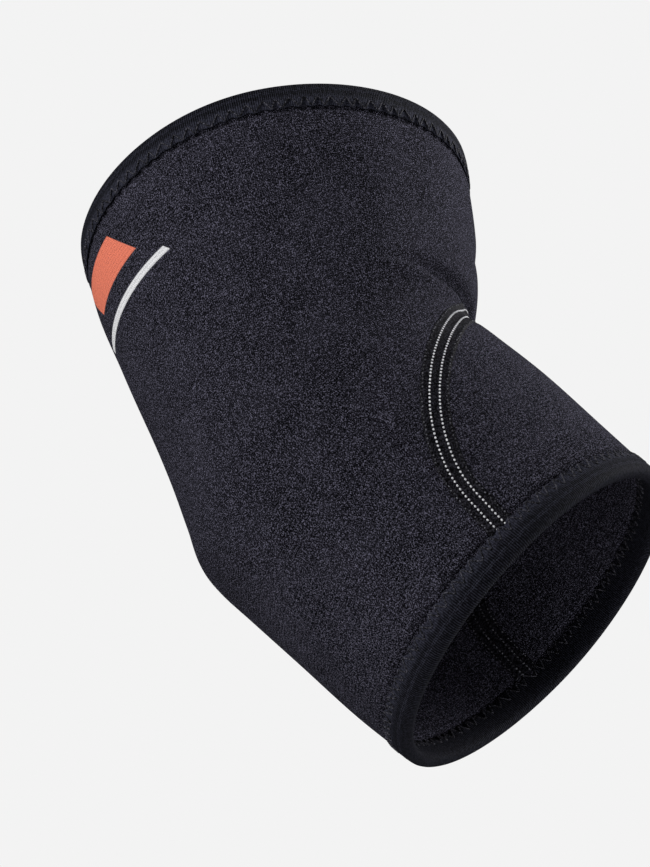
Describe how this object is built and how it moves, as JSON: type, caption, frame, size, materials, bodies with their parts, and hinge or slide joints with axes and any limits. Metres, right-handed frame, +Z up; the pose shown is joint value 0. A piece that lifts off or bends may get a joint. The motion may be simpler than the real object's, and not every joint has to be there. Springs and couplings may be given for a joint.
{
  "type": "elbow brace",
  "caption": "Pull-on elbow brace: a bent sleeve of thick neoprene with a tongue-shaped panel in the forearm front and a folded tape round each rim.",
  "frame": {"origin": "middle of the elbow, on the bend plane, where the axes of the upper arm and the forearm cross", "axes": "+Z up the upper arm, +X towards the inner side of the elbow, Y across the sleeve"},
  "size_m": [0.155, 0.1102, 0.196],
  "materials": {
    "neoprene": "matte knitted nylon face on neoprene foam",
    "rim_tape": "matte ribbed folded tape",
    "white_thread": "white spun polyester sewing thread",
    "black_thread": "black spun polyester sewing thread"
  },
  "bodies": {
    "root": {"sleeve_body": "neoprene", "forearm_tongue": "neoprene", "upper_rim_tape": "rim_tape", "forearm_rim_tape": "rim_tape"}
  },
  "joints": []
}
